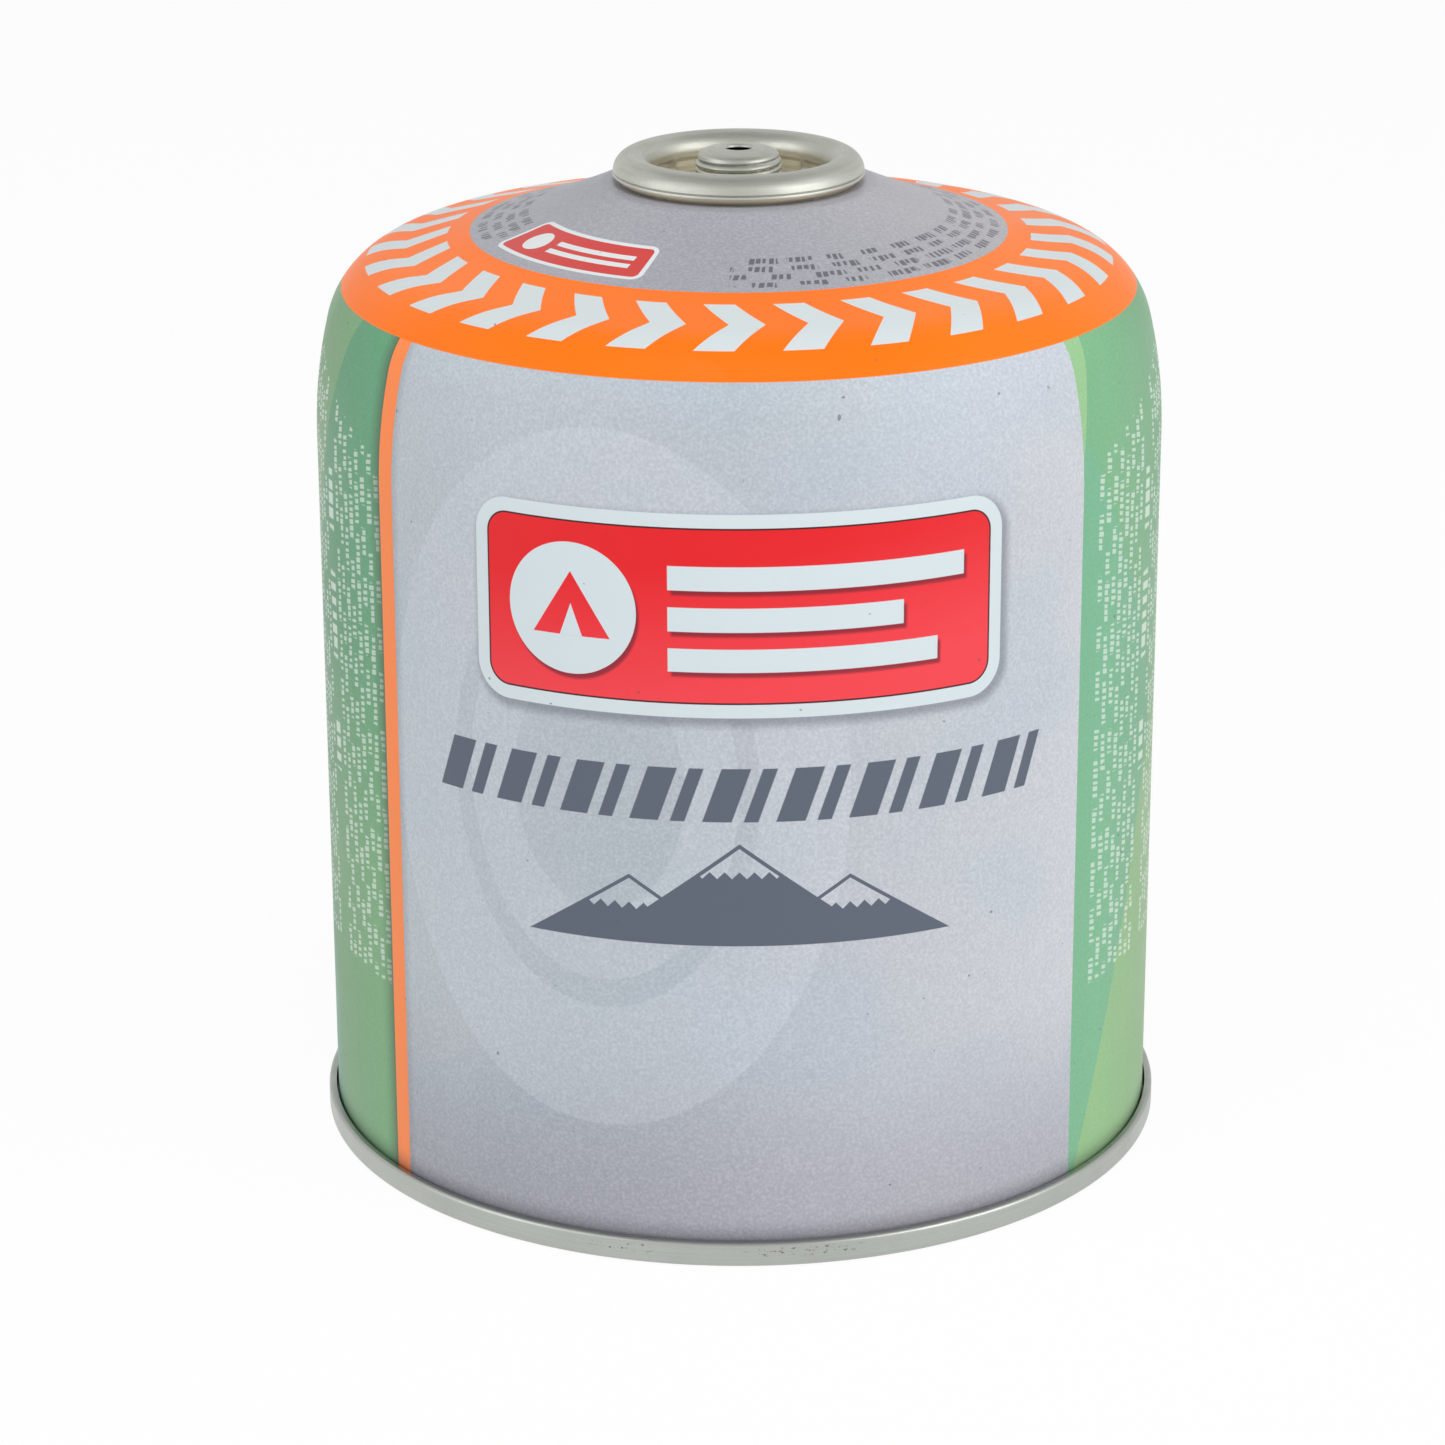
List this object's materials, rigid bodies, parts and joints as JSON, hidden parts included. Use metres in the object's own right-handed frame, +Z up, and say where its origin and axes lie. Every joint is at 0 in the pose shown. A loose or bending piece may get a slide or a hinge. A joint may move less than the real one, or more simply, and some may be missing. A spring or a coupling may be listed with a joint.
{
  "type": "fuel canister",
  "caption": "Sealed gas fuel canister: drawn body with sloped shoulder, double-seamed domed base, and a crimped cup with a threaded self-sealing valve post.",
  "frame": {"origin": "centre of the base seam's flat underside, on the canister's axis", "axes": "+Z up along the canister's axis to the valve; -Y faces the front of the printed wall, as in the picture"},
  "size_m": [0.1106, 0.1106, 0.1289],
  "materials": {
    "printed_steel": "printed and lacquered steel: grey-lavender front, green back, orange band and pinstripe, glossy",
    "tinplate_end": "bare tinplate, drawn and seamed, faint marks round the seam",
    "tinplate_cup": "bare tinplate, warm satin",
    "rubber_seal": "dark matte rubber",
    "valve_plastic": "dark moulded plastic"
  },
  "bodies": {
    "root": {"can_body": "printed_steel", "base_end": "tinplate_end", "valve_cup": "tinplate_cup", "stem_gasket": "rubber_seal", "valve_core": "valve_plastic"}
  },
  "joints": []
}
